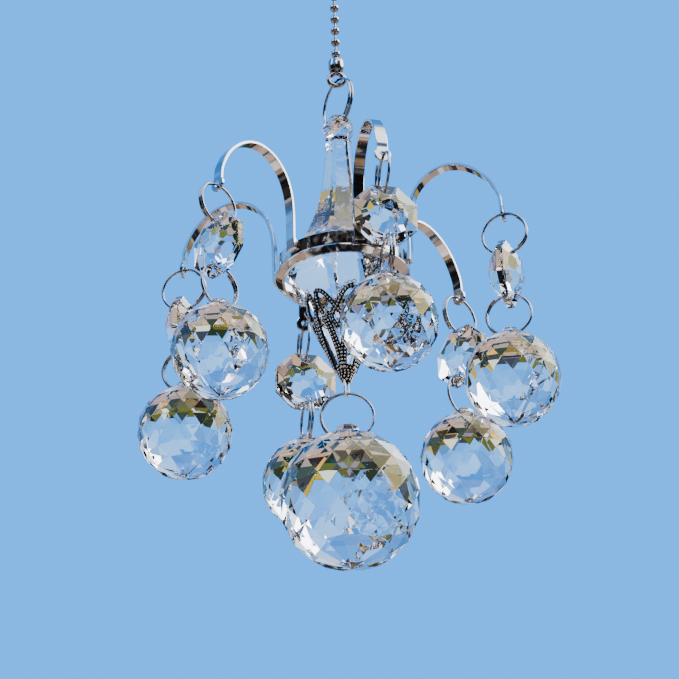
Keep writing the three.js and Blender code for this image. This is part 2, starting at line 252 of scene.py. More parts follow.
# ---- Shader maths ----
class Value:
    """A number, colour or vector that a node gives out. Arithmetic on it adds Math nodes."""

    def __init__(self, tree, socket):
        self.tree = tree
        self.socket = socket

    def math(self, operation, *values):
        return self.tree.node("ShaderNodeMath", {"operation": operation}, *values)

    def __add__(self, other):
        return self.math("ADD", self, other)

    def __sub__(self, other):
        return self.math("SUBTRACT", self, other)

    def __rsub__(self, other):
        return self.math("SUBTRACT", other, self)

    def __mul__(self, other):
        return self.math("MULTIPLY", self, other)

    def __pow__(self, other):
        return self.math("POWER", self, other)

    __radd__ = __add__
    __rmul__ = __mul__

    def at_least(self, other):
        return self.math("MAXIMUM", self, other)

    def clamped(self):
        return self.tree.node("ShaderNodeClamp", {}, self)


class Tree:
    """A node tree, with one way to add any node to it."""

    def __init__(self, nodes):
        self.nodes = nodes
        nodes.nodes.clear()

    def node(self, kind, settings, *values, out=0, numbered=None, **named):
        """Adds a node, sets its settings, then its inputs in order, by number and by name, and gives the
        output of that number or name."""
        node = self.nodes.nodes.new(kind)
        for key, setting in settings.items():
            if key == "stops":
                self.set_stops(node.color_ramp, setting)
            elif key == "flat":
                node.color_ramp.interpolation = "CONSTANT"
            else:
                setattr(node, key, setting)
        inputs = {**dict(enumerate(values)), **(numbered or {})}
        inputs.update((key.replace("_", " "), value) for key, value in named.items())
        for key, value in inputs.items():
            if isinstance(value, Value):
                self.nodes.links.new(value.socket, node.inputs[key])
            else:
                node.inputs[key].default_value = value
        return Value(self, node.outputs[out]) if node.outputs else None

    @staticmethod
    def set_stops(ramp, stops):
        """Gives a ramp its (position, colour) stops."""
        while len(ramp.elements) > 1:
            ramp.elements.remove(ramp.elements[-1])
        for index, (position, colour) in enumerate(stops):
            stop = ramp.elements[0] if index == 0 else ramp.elements.new(position)
            stop.position = position
            stop.color = (*colour, 1)

    def noise(self, vector, scale, detail=3.0, roughness=0.5):
        return self.node(
            "ShaderNodeTexNoise", {}, Vector=vector, Scale=scale, Detail=detail, Roughness=roughness
        )

    def place(self):
        """The place on the object."""
        return self.node("ShaderNodeTexCoord", {}, out="Object")

    def stretched(self, scale):
        """The place on the object, with each axis scaled."""
        return self.node("ShaderNodeMapping", {}, Vector=self.place(), Scale=scale)

    def mix(self, factor, a, b):
        """Colour a where the factor is 0 and b where it is 1."""
        a, b = (colour if isinstance(colour, Value) else (*colour, 1) for colour in (a, b))
        return self.node("ShaderNodeMix", {"data_type": "RGBA"}, numbered={0: factor, 6: a, 7: b}, out=2)


def finish(name, surface):
    """A material whose Principled shader is set by surface(tree), a dict of socket values."""
    material = bpy.data.materials.new(name)
    material.use_nodes = True
    tree = Tree(material.node_tree)
    shader = tree.node("ShaderNodeBsdfPrincipled", {}, **surface(tree))
    tree.node("ShaderNodeOutputMaterial", {}, Surface=shader)
    return material


# ---- Finishes ----
def clear_glass(haze_share, wave_scale, wave_strength, film, shine):
    """Clear glass: faint polishing haze, a waviness of the surface that pressed pieces show more, a thin film
    of that many nanometres, and how strongly the surface throws light back."""

    def surface(tree):
        place = tree.place()
        haze = tree.noise(place, 220.0, detail=4.0)
        wave = tree.noise(place, wave_scale, detail=2.0)
        bump = tree.node("ShaderNodeBump", {}, Strength=wave_strength, Distance=0.0004, Height=wave)
        return {
            "Base_Color": (0.985, 0.993, 1.0, 1),
            "Roughness": (haze - 0.5).clamped() * haze_share,
            "IOR": 1.56,
            "Specular_IOR_Level": shine,
            "Transmission_Weight": 1.0,
            "Thin_Film_Thickness": film,
            "Thin_Film_IOR": 1.36,
            "Normal": bump,
        }

    return surface


def plated(colour, dull, low, high):
    """Plated metal: tarnish in soft clouds that turn the colour dull, and fine scratches that lift the
    roughness, which runs from low to high."""

    def surface(tree):
        clouds = tree.noise(tree.place(), 260.0, detail=5.0, roughness=0.6)
        scratches = tree.noise(tree.stretched((500.0, 500.0, 6000.0)), 1.0, detail=2.0)
        worn = (clouds - 0.42).clamped() * 3.0
        bump = tree.node("ShaderNodeBump", {}, Strength=0.08, Distance=0.00003, Height=scratches)
        return {
            "Base_Color": tree.mix(worn.clamped(), colour, dull),
            "Metallic": 1.0,
            "Roughness": (clouds * (high - low) + (scratches - 0.5) * 0.06 + low).clamped(),
            "Normal": bump,
        }

    return surface


CRYSTAL = finish("cut crystal", clear_glass(0.04, 95.0, 0.05, 260.0, 0.5))
PRESSED = finish("pressed crystal", clear_glass(0.10, 420.0, 0.22, 0.0, 0.25))
CHROME = finish("chromed wire", plated((0.34, 0.35, 0.38), (0.26, 0.26, 0.27), 0.02, 0.08))
GUNMETAL = finish("polished dark plating", plated((0.58, 0.58, 0.60), (0.42, 0.40, 0.38), 0.03, 0.13))
OXIDE = finish("oxidised silver ground", plated((0.035, 0.032, 0.03), (0.015, 0.014, 0.013), 0.3, 0.5))
GRAIN = finish("rubbed silver grain", plated((0.95, 0.94, 0.91), (0.70, 0.68, 0.63), 0.12, 0.30))


def keep(piece, node):
    """The piece stands for its CAD node, whose solid is hidden, and rides with the one body."""
    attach(piece, "root")
    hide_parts(node)


# ---- Split rings ----
def split_ring(node, centre, turn, radius, on_left):
    """Round wire wound 1.3 times: with f from 0 to 1 along the wire, angle = start + 1.3 f turns, and the
    point is (R cos angle, 1.3 pitch (f - 1/2), R sin angle), turned about Z. The ring laps itself on one
    side."""
    f = np.linspace(0, 1, 150)
    start = (math.pi if on_left else 0) - (RING_TURNS - 1) * math.pi
    angle = start + f * RING_TURNS * TAU
    sideways = (f - 0.5) * RING_TURNS * RING_PITCH
    path = np.stack([radius * np.cos(angle), sideways, radius * np.sin(angle)], -1)
    vertices, faces = swept(path, disc(WIRE, 12), (0, 1, 0))
    piece = made(node, turned(vertices, turn) + np.array(centre), faces, CHROME, 40)
    keep(piece, node)


def ring_height(node):
    """The height of a ring's middle, in millimetres."""
    return centre_of(node).z / MM


# ---- Cut stones ----
def editable(vertices, faces=()):
    """Vertex and face arrays as a bmesh, in millimetres."""
    mesh = bpy.data.meshes.new("arrays")
    mesh.from_pydata(np.asarray(vertices, float).tolist(), [], faces)
    solid = bmesh.new()
    solid.from_mesh(mesh)
    bpy.data.meshes.remove(mesh)
    return solid


def hull(points):
    """The convex solid round some points, as a bmesh with flat facets of many sides."""
    stone = editable(points)
    bmesh.ops.convex_hull(stone, input=stone.verts[:])
    loose = [v for v in stone.verts if not v.link_faces]
    bmesh.ops.delete(stone, geom=loose, context="VERTS")
    bmesh.ops.recalc_face_normals(stone, faces=stone.faces[:])
    return stone


def corners_between(facets):
    """Corners of the solid bounded by facets (unit normal / distance as rows): each is the dual of one face
    of the hull around those rows, at normal / (normal . point)."""
    duals = hull(facets)
    bmesh.ops.triangulate(duals, faces=duals.faces[:])
    triangles = np.array([[v.co[:] for v in face.verts] for face in duals.faces])
    duals.free()
    normal = np.cross(triangles[:, 1] - triangles[:, 0], triangles[:, 2] - triangles[:, 0])
    corners = normal / np.sum(normal * triangles[:, 0], -1, keepdims=True)
    return np.unique(np.round(corners, 3), axis=0)


def ring_of(count, start, radius, height):
    """Points evenly round Z: (R cos a, R sin a, height)."""
    turn = start + evenly(count)
    return np.stack([radius * np.cos(turn), radius * np.sin(turn), np.full(count, height)], -1)


def ball_corners(radius, count, rows):
    """Rings of corners at the given latitudes, each turned half a step from the next, over a low point."""
    rings = []
    for i, row in enumerate(np.radians(rows)):
        rings.append(ring_of(count, i * math.pi / count, radius * math.cos(row), radius * math.sin(row)))
    return np.vstack([*rings, [[0, 0, -POINT_DEPTH * radius]]])


def tool(name, stone):
    """A bmesh as a helper object, in millimetres."""
    mesh = bpy.data.meshes.new(name)
    stone.to_mesh(mesh)
    stone.free()
    helper = bpy.data.objects.new(name, mesh)
    bpy.context.scene.collection.objects.link(helper)
    return helper


def rod(radius, length, centre, axis_turn=0.0):
    """A drill along X, turned about Z, through a centre."""
    ends = np.vstack([ring_of(DRILL_SIDES, 0, radius, reach) for reach in (-length / 2, length / 2)])
    along_x = np.stack([ends[:, 2], ends[:, 0], ends[:, 1]], -1)
    return hull(turned(along_x, axis_turn) + np.array(centre))


def carved(body, steps):
    """The body joined with, or cut by, helpers in turn; the helpers are used up."""
    result = body
    for operation, helper in steps:
        change = result.modifiers.new("cut", "BOOLEAN")
        change.operation = operation
        change.object = helper
        change.solver = "EXACT"
        mesh = bpy.data.meshes.new_from_object(result.evaluated_get(bpy.context.evaluated_depsgraph_get()))
        result.modifiers.clear()
        result.data = mesh
        bpy.data.objects.remove(helper)
    return result


WELD = 0.002  # corners nearer than this are one
FLAT_EDGE = math.radians(1.2)  # facets that meet at less than this are one
SHARP_EDGE = math.radians(9)  # edges steeper than this are bevelled


def finished_stone(body, node, turn, centre, edge):
    """Coplanar facets are joined, sharp edges get a narrow polished bevel, and the stone is put in place."""
    stone = bmesh.new()
    stone.from_mesh(body.data)
    bpy.data.objects.remove(body)
    bmesh.ops.remove_doubles(stone, verts=stone.verts[:], dist=WELD)
    bmesh.ops.dissolve_limit(stone, angle_limit=FLAT_EDGE, verts=stone.verts[:], edges=stone.edges[:])
    sharp = [e for e in stone.edges if e.calc_face_angle(0) > SHARP_EDGE]
    bmesh.ops.bevel(
        stone, geom=sharp, offset=edge, offset_type="OFFSET", segments=1, profile=0.5, affect="EDGES",
        clamp_overlap=True,
    )
    bmesh.ops.triangulate(stone, faces=stone.faces[:])
    bmesh.ops.recalc_face_normals(stone, faces=stone.faces[:])
    place = Matrix.Translation(Vector(centre)) @ Matrix.Rotation(turn, 4, "Z")
    bmesh.ops.transform(stone, matrix=Matrix.Scale(MM, 4) @ place, verts=stone.verts[:])
    mesh = bpy.data.meshes.new(node)
    stone.to_mesh(mesh)
    stone.free()
    piece = bpy.data.objects.new(node, mesh)
    bpy.context.scene.collection.objects.link(piece)
    mesh.materials.append(CRYSTAL)
    keep(piece, node)


def cut_ball(node, radius, turn, nub, bore, edge):
    """A faceted ball with a low eight-sided nub and a bore through it. nub is (foot, crest, top) and bore is
    (radius, height above the middle)."""
    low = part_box(node)[0].z / MM
    x, y = (round(c / MM, 4) for c in centre_of(node)[:2])
    foot, crest, top = nub
    shoulder, below_top = NUB_SHOULDER
    start = math.pi / NUB_SIDES
    collar = np.vstack([
        ring_of(NUB_SIDES, start, foot, radius * NUB_FOOT),
        ring_of(NUB_SIDES, start, crest * shoulder, top - below_top),
        ring_of(NUB_SIDES, start, crest * NUB_TOP, top),
    ])
    steps = [
        ("UNION", tool("nub", hull(collar))),
        ("DIFFERENCE", tool("drill", rod(bore[0], radius * 2, (0, 0, bore[1])))),
    ]
    body = carved(tool("ball", hull(ball_corners(radius, BALL_CUTS, BALL_ROWS))), steps)
    finished_stone(body, node, turn, (x, y, low + POINT_DEPTH * radius + POINT_LIFT), edge)


def facet_row(count, polar, distance, start):
    """Facets as rows of unit normal / distance, tilted by polar from Z."""
    polar = math.radians(polar)
    return ring_of(count, start, math.sin(polar), math.cos(polar)) / distance


def octagon_bead(node, turn):
    """Eight sides, and on each face a table inside eight star facets and eight kites."""
    half = BEAD_THICK / 2
    face = np.vstack([
        facet_row(8, KITE_TILT, half + KITE_RISE, 0),
        facet_row(8, STAR_TILT, half + STAR_RISE, math.pi / 8),
        [[0, 0, 1 / half]],
    ])
    facets = np.vstack([face, face * [1, 1, -1], facet_row(8, 90, BEAD_FLATS / 2, 0)])
    corners = corners_between(facets)[:, [2, 0, 1]]
    steps = []
    for up in (BEAD_BORE_OUT, -BEAD_BORE_OUT):
        steps.append(("DIFFERENCE", tool("drill", rod(BEAD_BORE, BEAD_THICK * 2, (0, 0, up)))))
    body = carved(tool("bead", hull(corners)), steps)
    finished_stone(body, node, turn, centre_of(node) / MM, EDGE)


# ---- Centre crystal ----
CRYSTAL_POINT = [
    (0.02, -30.2), (0.7, -29.6), (7.9, -11.8), (12.4, -6.6), (13.7, -4.4), (13.7, -2.6), (12.9, -1.1),
]
CRYSTAL_FLARE = [
    (12.9, -1.1), (10.6, 1.4), (8.8, 4.2), (7.3, 7.3), (5.7, 11.6), (4.5, 16.2), (3.9, 19.8),
    (3.2, 26.3), (3.0, 31), (2.9, 31.4),
]
CRYSTAL_TOP = (0.02, 31.5)


def finished_body(body, node, place, material, angle):
    """A carved body in millimetres is placed, given its finish and kept under its node's name."""
    body.data.transform(Matrix.Scale(MM, 4) @ place)
    body.data.materials.clear()
    body.data.materials.append(material)
    shade(body.data, angle)
    body.name = node
    keep(body, node)


def centre_crystal():
    """A hexagon with narrow bevelled corners carried up a trumpet profile of (radius, height):
    vertex = (r cos a, r sin a, z), with a on either side of each corner. A faceted ball is on top."""
    profile = np.vstack([CRYSTAL_POINT, smooth_line(CRYSTAL_FLARE, 46)[1:], [CRYSTAL_TOP]])
    corner = SPOKES + math.pi / len(SPOKES)
    angle = np.stack([corner - CORNER_BEVEL, corner + CORNER_BEVEL], -1).reshape(-1)
    stem = editable(*lathe(profile, angle, closed=False))
    ball = hull(ball_corners(FINIAL_BALL, FINIAL_CUTS, FINIAL_ROWS))
    bmesh.ops.translate(ball, verts=ball.verts[:], vec=(0, 0, FINIAL))
    drill = rod(FINIAL_BORE, 20, (0, 0, FINIAL + FINIAL_BORE_UP), FINIAL_RING_TURN)
    steps = [("UNION", tool("ball", ball)), ("DIFFERENCE", tool("drill", drill))]
    place = Matrix.Translation((0, 0, LEVEL))
    finished_body(carved(tool("stem", stem), steps), "centre_crystal", place, PRESSED, 7)


# ---- Band and arms ----
def band():
    """A hoop with a flat upper strip that leans in a little, a ridge, and a bezel that turns in below, as a
    profile of (radius, depth under the band's top)."""
    profile = [
        (14.9, 0), (14.98, -0.1), (14.96, -0.3), (14.82, -2.95), (14.77, -3.1), (14.9, -3.28), (14.9, -3.42),
        (14.72, -3.6), (13.5, -4.33), (13.42, -4.4), (12.95, -4.4), (12.87, -4.33), (14.2, -3.15),
        (14.43, -0.08), (14.53, 0),
    ]
    vertices, faces = lathe(profile[::-1], evenly(160))
    vertices[:, 2] += LEVEL + BAND_TOP
    piece = made("band", vertices, faces, GUNMETAL, 35)
    keep(piece, "band")


ARM_LINE = [
    (15.525, -3.9), (15.575, -2.9), (15.675, -0.9), (15.675, 5.5), (16.3, 10.4), (18.1, 14.6), (21.4, 17.7),
    (25.6, 18.7), (30, 17.2), (33.9, 13.6), (36.4, 8.8), (REACH - 0.16, 5.3),
]
ARM_HALF_WIDTH = 1.23
ARM_THICK = 0.7
ARM_BORE = 0.7
EYE_HEIGHT = 4.0
EYE_R = 1.78
EYE_START = math.acos(-0.7)  # from the eye's lowest point round to where the strip ends
EYE_LEAN = 0.12  # how far the end eye leans outwards for each millimetre down
EYE_NEAR = 0.3  # the line is the eye's from this far short of the eye's middle
LEAST_CHORD = 0.05
LEAST_WIDTH = 0.01
ARM_CHAMFER = (0.12, 0.1)  # how far the strip's edges are cut back, across its width and its thickness
SOLDER = 0.26  # thickness of the solder that joins an arm's foot to the band
SOLDER_TOP, SOLDER_FADE = -1.4, 0.5  # where it ends, and over what height it thins out


def arm(index, turn):
    """A strip with rounded edges along the arm's line. Its half width is that of the strip, and at the end
    the half chord of the round eye, sqrt(R^2 - h^2) at a height h from the eye's middle."""
    line = smooth_line(ARM_LINE, 90)
    fall = EYE_HEIGHT - EYE_R * np.cos(np.linspace(EYE_START, 0, 20)[1:])
    line = np.vstack([line, np.stack([REACH + EYE_LEAN * (EYE_HEIGHT - fall), fall], -1)])
    path = np.stack([line[:, 0], np.zeros(len(line)), line[:, 1] + LEVEL], -1)
    height = line[:, 1] - EYE_HEIGHT
    at_eye = line[:, 0] > REACH - EYE_NEAR
    chord = np.sqrt(np.clip(EYE_R**2 - height**2, LEAST_CHORD**2, None)) * at_eye
    half = np.maximum(np.where(at_eye & (height < 0), 0, ARM_HALF_WIDTH), chord)
    t = ARM_THICK / 2
    across, through = ARM_CHAMFER
    side = np.array([-1, 1, 1, 1, 1, -1, -1, -1])
    inset = across * np.array([1, 1, 0, 0, 1, 1, 0, 0])
    depth = np.array([-t, -t, through - t, t - through, t, t, t - through, through - t])
    solder = SOLDER * np.clip(SOLDER_TOP - line[:, 1], 0, SOLDER_FADE)[:, None] / SOLDER_FADE
    width = side * np.clip(half[:, None] - inset, LEAST_WIDTH, None)
    section = np.stack([depth - solder * (depth < 0), width], -1)
    strip = editable(*swept(path, section, (0, 1, 0)))
    bmesh.ops.recalc_face_normals(strip, faces=strip.faces[:])
    drill = tool("drill", rod(ARM_BORE, 8, (REACH, 0, LEVEL + EYE_HEIGHT)))
    body = carved(tool("strip", strip), [("DIFFERENCE", drill)])
    finished_body(body, f"arm_{index}", Matrix.Rotation(turn, 4, "Z"), GUNMETAL, 35)


# ---- Filigree cap ----
CAP_TIP = -31.2
CAP_TIP_R = 1.25
CAP_FLARE = 0.405  # growth of the cap's radius with height
CAP_SLOPE = 0.4  # fall of the cap's outward normal
PANELS = 5
FIRST_PANEL = math.radians(-104)

GRAIN_R = 0.25
GRAIN_PITCH = 0.74
STRIP_BACK, STRIP_FRONT = -0.28, 0.12  # faces of a bar's strip, out from the cone
EDGE_WIRE = 0.1
GRAIN_OUT = 0.16  # how far the grains' middles stand out
GRAIN_MARGIN = 0.32  # from a strip's edge to its outer row of grains
RINGLET = 0.42
RINGLET_WIRE = 0.16
RINGLET_PITCH = 0.95
RINGLETS_UP = 0.75  # how far the row stands above the top edge

# Bars of half a panel, as (degrees from the panel's middle, height).
OUTER_EDGE = [(29, -12.1), (31, -15.2), (23, -18.2)]
STEM = [(25, -17.4), (17, -21.5), (9, -25), (3, -28.8)]
TOP_EDGE = [(29, -12.1), (19, -12.7), (9, -14.6), (0, -16.6)]
DROP = [(0, -16.4), (10, -18.4), (0, -20.8)]
TIE = [(6, -17.4), (25, -17.6)]
# Each bar with half its width and its rows of grains.
BARS = [(OUTER_EDGE, 0.45, 1), (STEM, 0.66, 2), (TOP_EDGE, 0.42, 1), (DROP, 0.38, 1), (TIE, 0.38, 1)]

# The small cone at the cap's tip, as (radius, height), and the rows of grains on it.
TIP_CONE = [
    (0.05, -32), (1.0, CAP_TIP), (2.3, -28.2), (1.8, -28.2), (1.15, -29.7), (0.9, -30.6), (0.05, -30.6),
]
TIP_ROWS = [(2.3 - 0.24 * row, -28.3 - 0.6 * row) for row in range(6)]
TIP_ROW_TURN = 0.4  # how far each row is turned from the one above
TIP_GRAIN_PITCH = 0.72


def on_cap(turn, height):
    """Points on the cone that hugs the crystal's point: (r cos a, r sin a, z), where r is the tip's radius
    plus the flare for each millimetre above the tip."""
    radius = CAP_TIP_R + (height - CAP_TIP) * CAP_FLARE
    return np.stack([radius * np.cos(turn), radius * np.sin(turn), height + 0 * turn], -1)


def spaced(path, pitch):
    """Points at equal steps along a path."""
    step = np.linalg.norm(np.diff(path, axis=0), axis=1)
    along = np.concatenate([[0], np.cumsum(step)])
    count = max(2, int(along[-1] / pitch))
    at = np.linspace(0, along[-1], count + 1)
    return np.stack([np.interp(at, along, path[:, k]) for k in range(3)], -1)


def beaded_bar(middle, places, half_width, rows):
    """A flat strip that lies on the cone, the two thin wires on its edges, and its rows of grain middles."""
    line = smooth_line([(math.radians(a), z) for a, z in places], 8 * len(places))
    turn, height = middle + line[:, 0], line[:, 1]
    path = on_cap(turn, height)
    outward = unit(np.stack([np.cos(turn), np.sin(turn), np.full_like(turn, -CAP_SLOPE)], -1))
    side = np.cross(outward, unit(np.gradient(path, axis=0)))
    corners = [(-1, STRIP_BACK), (1, STRIP_BACK), (1, STRIP_FRONT), (-1, STRIP_FRONT)]
    ground = swept(path, np.multiply(corners, [half_width, 1]), outward)
    front = path + outward * STRIP_FRONT
    edges = [swept(front + side * half, disc(EDGE_WIRE, 6), outward) for half in (-half_width, half_width)]
    offsets = np.linspace(-1, 1, rows) * (half_width - GRAIN_MARGIN) if rows > 1 else [0.0]
    grain_rows = [spaced(path + side * o + outward * GRAIN_OUT, GRAIN_PITCH) for o in offsets]
    return ground, edges, grain_rows


def ringlets(path):
    """Small flat rings in a row along a path: each is place + R (cos a across + sin a down), facing out from
    the cone."""
    rings = []
    for place in spaced(path, RINGLET_PITCH):
        face = unit(np.array([place[0], place[1], -CAP_SLOPE * math.hypot(place[0], place[1])]))
        across = unit(np.cross(face, (0, 0, 1)))
        down = np.cross(face, across)
        turn = evenly(10)[:, None]
        circle = place + RINGLET * (np.cos(turn) * across + np.sin(turn) * down)
        rings.append(swept(circle, disc(RINGLET_WIRE, 6), face, closed=True))
    return rings


def filigree_cap():
    """Five panels, each a heart with beaded edges over two stems that run together into a beaded point."""
    bars, wires, dots = [], [], []
    for middle in FIRST_PANEL + evenly(PANELS):
        for side in (1, -1):
            for places, half_width, rows in BARS:
                mirrored = [(side * a, z) for a, z in places]
                ground, edges, grain_rows = beaded_bar(middle, mirrored, half_width, rows)
                bars += [ground, *edges]
                dots += grain_rows
        line = smooth_line([(math.radians(a), z + RINGLETS_UP) for a, z in TOP_EDGE], 24)
        wires += ringlets(on_cap(middle + line[:, 0], line[:, 1]))
    bars.append(lathe(TIP_CONE[::-1], evenly(40)))
    for row, (radius, height) in enumerate(TIP_ROWS):
        count = max(6, int(TAU * radius / TIP_GRAIN_PITCH))
        dots.append(ring_of(count, row * TIP_ROW_TURN, radius, height))
    pieces = [
        made("filigree_cap", *merged(bars), OXIDE, 35),
        made("filigree_wires", *merged([*wires, tip_loop()]), GRAIN, 60),
        made("filigree_grains", *grains(np.vstack(dots), GRAIN_R), GRAIN, 80),
    ]
    for piece in pieces:
        piece.data.transform(Matrix.Translation((0, 0, LEVEL * MM)))
        keep(piece, "filigree_cap")


TIP_LOOP = 0.8
TIP_LOOP_WIRE = 0.27
TIP_LOOP_ENDS = (-34.2, -31.7)  # heights of the middles of its half circles


def tip_loop():
    """A long wire loop under the cap's point: two half circles joined by straight wires."""
    radius, (low, high) = TIP_LOOP, TIP_LOOP_ENDS
    turn = np.linspace(0, math.pi, 16)
    upper = np.stack([radius * np.cos(turn), 0 * turn, high + radius * np.sin(turn)], -1)
    lower = np.stack([-radius * np.cos(turn), 0 * turn, low - radius * np.sin(turn)], -1)
    vertices, faces = swept(np.vstack([upper, lower]), disc(TIP_LOOP_WIRE, 10), (0, 1, 0), closed=True)
    return turned(vertices, TIP_LOOP_TURN), faces


# ---- Chain and couplings ----
# A coupling's bell, as (radius, height), and the eye under it.
BELL = [
    (0.02, 0), (1.15, 0), (1.5, 0.2), (1.73, 0.75), (1.78, 1.3), (1.78, 2.6), (1.66, 3.0), (1.45, 3.2),
    (1.1, 3.2), (1.05, 3.1), (1.45, 2.5), (1.45, 0.7), (1.0, 0.5), (0.02, 0.5),
]
COUPLING_EYE = 1.68
COUPLING_EYE_WIRE = 0.59
COUPLING_EYE_DOWN = 1.98

CHAIN_BEADS = 8
CHAIN_BEAD = 1.04
CHAIN_END = 1.05  # from the chain's ends to the middles of its end beads
CHAIN_HOLE = 0.32  # half the angle that a bead's hole takes up
HOLE_BOTTOM = (0.12, 0.1)  # radius where the link closes the hole, and how far in that is
CHAIN_LINK = 0.2  # radius of a link, and how far it reaches into its beads
SEAM_DEPTH, SEAM_WIDTH = 0.035, 0.08


def coupling(node, up):
    """A bell that holds the chain's end bead, with a round wire eye under it: (R cos a, 0, R sin a - down).
    The upper one is upside down."""
    low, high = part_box(node)
    turn = evenly(48)
    eye_path = COUPLING_EYE * np.stack([np.cos(turn), 0 * turn, np.sin(turn)], -1)
    eye_path[:, 2] -= COUPLING_EYE_DOWN
    eye = swept(eye_path, disc(COUPLING_EYE_WIRE, 16), (0, 1, 0), closed=True)
    vertices, faces = merged([lathe(BELL[::-1], evenly(40)), eye])
    vertices = vertices * [1, up, up]
    middle = (low.z + high.z) / 2 / MM
    vertices[:, 2] += middle - (vertices[:, 2].min() + vertices[:, 2].max()) / 2
    keep(made(node, vertices, faces, CHROME, 35), node)


def ball_chain():
    """Hollow beads on short links. A bead is the profile (R sin a, -R cos a) turned round Z, with a fine seam
    pressed in round its middle by 1 - depth exp(-((a - 90 degrees) / width)^2)."""
    low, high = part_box("ball_chain")
    middles = np.linspace(low.z / MM + CHAIN_END, high.z / MM - CHAIN_END, CHAIN_BEADS)
    polar = np.linspace(CHAIN_HOLE, math.pi - CHAIN_HOLE, 13)
    seam = 1 - SEAM_DEPTH * np.exp(-((polar - math.pi / 2) / SEAM_WIDTH) ** 2)
    shell = np.stack([CHAIN_BEAD * np.sin(polar) * seam, -CHAIN_BEAD * np.cos(polar)], -1)
    radius, inwards = HOLE_BOTTOM
    shell = np.vstack([[(radius, shell[0, 1] + inwards)], shell, [(radius, shell[-1, 1] - inwards)]])
    vertices, faces = lathe(shell, evenly(20), closed=False)
    parts = [(vertices + [0, 0, z], faces) for z in middles]
    reach = CHAIN_BEAD - CHAIN_LINK
    for below, above in zip(middles, middles[1:]):
        link = [(0, 0, below + reach), (0, 0, (below + above) / 2), (0, 0, above - reach)]
        parts.append(swept(link, disc(CHAIN_LINK, 8), (1, 0, 0)))
    keep(made("ball_chain", *merged(parts), CHROME, 35), "ball_chain")


# ---- Putting it together ----
centre_crystal()
band()
filigree_cap()
ball_chain()
coupling("lower_coupling", 1)
coupling("upper_coupling", -1)
split_ring("hanging_ring", (0, 0, ring_height("hanging_ring")), math.pi / 2, HANGING_RING, True)
split_ring("finial_ring", (0, 0, ring_height("finial_ring")), FINIAL_RING_TURN, FINIAL_RING, False)
split_ring("bottom_ring", (0, 0, ring_height("bottom_ring")), 0.0, BIG_RING, True)
cut_ball("bottom_ball", BIG_BALL, 0.0, BIG_BALL_NUB, BIG_BALL_BORE, BIG_EDGE)
for number, spoke in enumerate(SPOKES, 1):
    arm(number, spoke)
    here = REACH * np.array([math.cos(spoke), math.sin(spoke)])
    for kind, on_left in (("upper_ring", number % 2 == 1), ("lower_ring", number % 2 == 0)):
        split_ring(f"{kind}_{number}", (*here, ring_height(f"{kind}_{number}")), spoke, RING, on_left)
    octagon_bead(f"octagon_bead_{number}", spoke)
    cut_ball(f"strand_ball_{number}", BALL, spoke, BALL_NUB, BALL_BORE, EDGE)


# ---- Camera ----
CAMERA_RISE = math.radians(30.9)
CAMERA_ROLL = math.radians(-1.8)
CAMERA_DISTANCE = 812.0  # from the band
AIM_DOWN, AIM_ASIDE = 18.1, -1.2  # how far under the band, and to its right, the middle of the view is
VIEW_WIDTH = 150.8889  # how much is seen from side to side at the band
SENSOR = 36


def camera():
    """Looks up from below along a line 31 degrees above the horizon, with a long lens at about 0.8 m."""
    right = Vector((1, 0, 0))
    up = Vector((0, -math.sin(CAMERA_RISE), math.cos(CAMERA_RISE)))
    ahead = Vector((0, math.cos(CAMERA_RISE), math.sin(CAMERA_RISE)))
    middle = Vector((0, 0, LEVEL)) - up * AIM_DOWN + right * AIM_ASIDE
    place = Vector((0, 0, LEVEL)) - ahead * CAMERA_DISTANCE
    data = bpy.data.cameras.new("camera")
    data.sensor_width = SENSOR
    data.lens = SENSOR * CAMERA_DISTANCE / VIEW_WIDTH
    data.clip_start, data.clip_end = 0.05, 60
    eye = bpy.data.objects.new("camera", data)
    bpy.context.scene.collection.objects.link(eye)
    look = (middle - place).to_track_quat("-Z", "Y").to_matrix().to_4x4()
    eye.matrix_world = Matrix.Translation(place * MM) @ look @ Matrix.Rotation(CAMERA_ROLL, 4, "Z")
    bpy.context.scene.camera = eye


# ---- Studio ----
def floor():
    """A wide pale floor well below the hanging piece."""
    depth, half = -1300.0, 14000.0
    corners = [(-half, -half, depth), (half, -half, depth), (half, half, depth), (-half, half, depth)]

    def pale(tree):
        mottle = tree.noise(tree.place(), 3.0)
        return {"Base_Color": tree.mix(mottle, (0.70, 0.74, 0.78), (0.76, 0.79, 0.82)), "Roughness": 0.9}

    piece = made("studio_floor", corners, [[0, 1, 2, 3]], finish("pale floor", pale))
    piece.visible_glossy = False
    piece.visible_transmission = False


# Patches of colour in the surroundings, as (where a colour's share starts, colour).
CLOUDS = [
    (0.0, (0.03, 0.42, 1.30)), (0.28, (0.10, 0.62, 1.65)), (0.46, (0.22, 0.80, 1.8)),
    (0.60, (0.01, 0.26, 0.90)), (0.80, (0.5, 1.1, 2.0)), (0.95, (1.8, 2.1, 2.5)),
]
FOLIAGE = [
    (0.0, (0.030, 0.050, 0.025)), (0.20, (0.16, 0.17, 0.03)), (0.38, (0.45, 0.40, 0.07)),
    (0.50, (0.80, 0.55, 0.03)), (0.54, (0.06, 0.07, 0.10)), (0.70, (0.30, 0.27, 0.44)),
    (0.78, (0.03, 0.03, 0.03)), (0.86, (0.34, 0.15, 0.25)), (0.91, (1.3, 1.4, 1.2)),
]
HEDGE = [
    (0.0, (0.030, 0.018, 0.022)), (0.26, (0.006, 0.035, 0.030)), (0.40, (0.08, 0.09, 0.095)),
    (0.50, (0.02, 0.035, 0.055)), (0.60, (0.14, 0.12, 0.10)), (0.72, (0.05, 0.055, 0.03)),
    (0.82, (0.012, 0.012, 0.014)), (0.89, (0.75, 0.80, 0.50)), (0.92, (1.3, 0.75, 0.10)),
    (0.96, (0.01, 0.10, 0.65)),
]
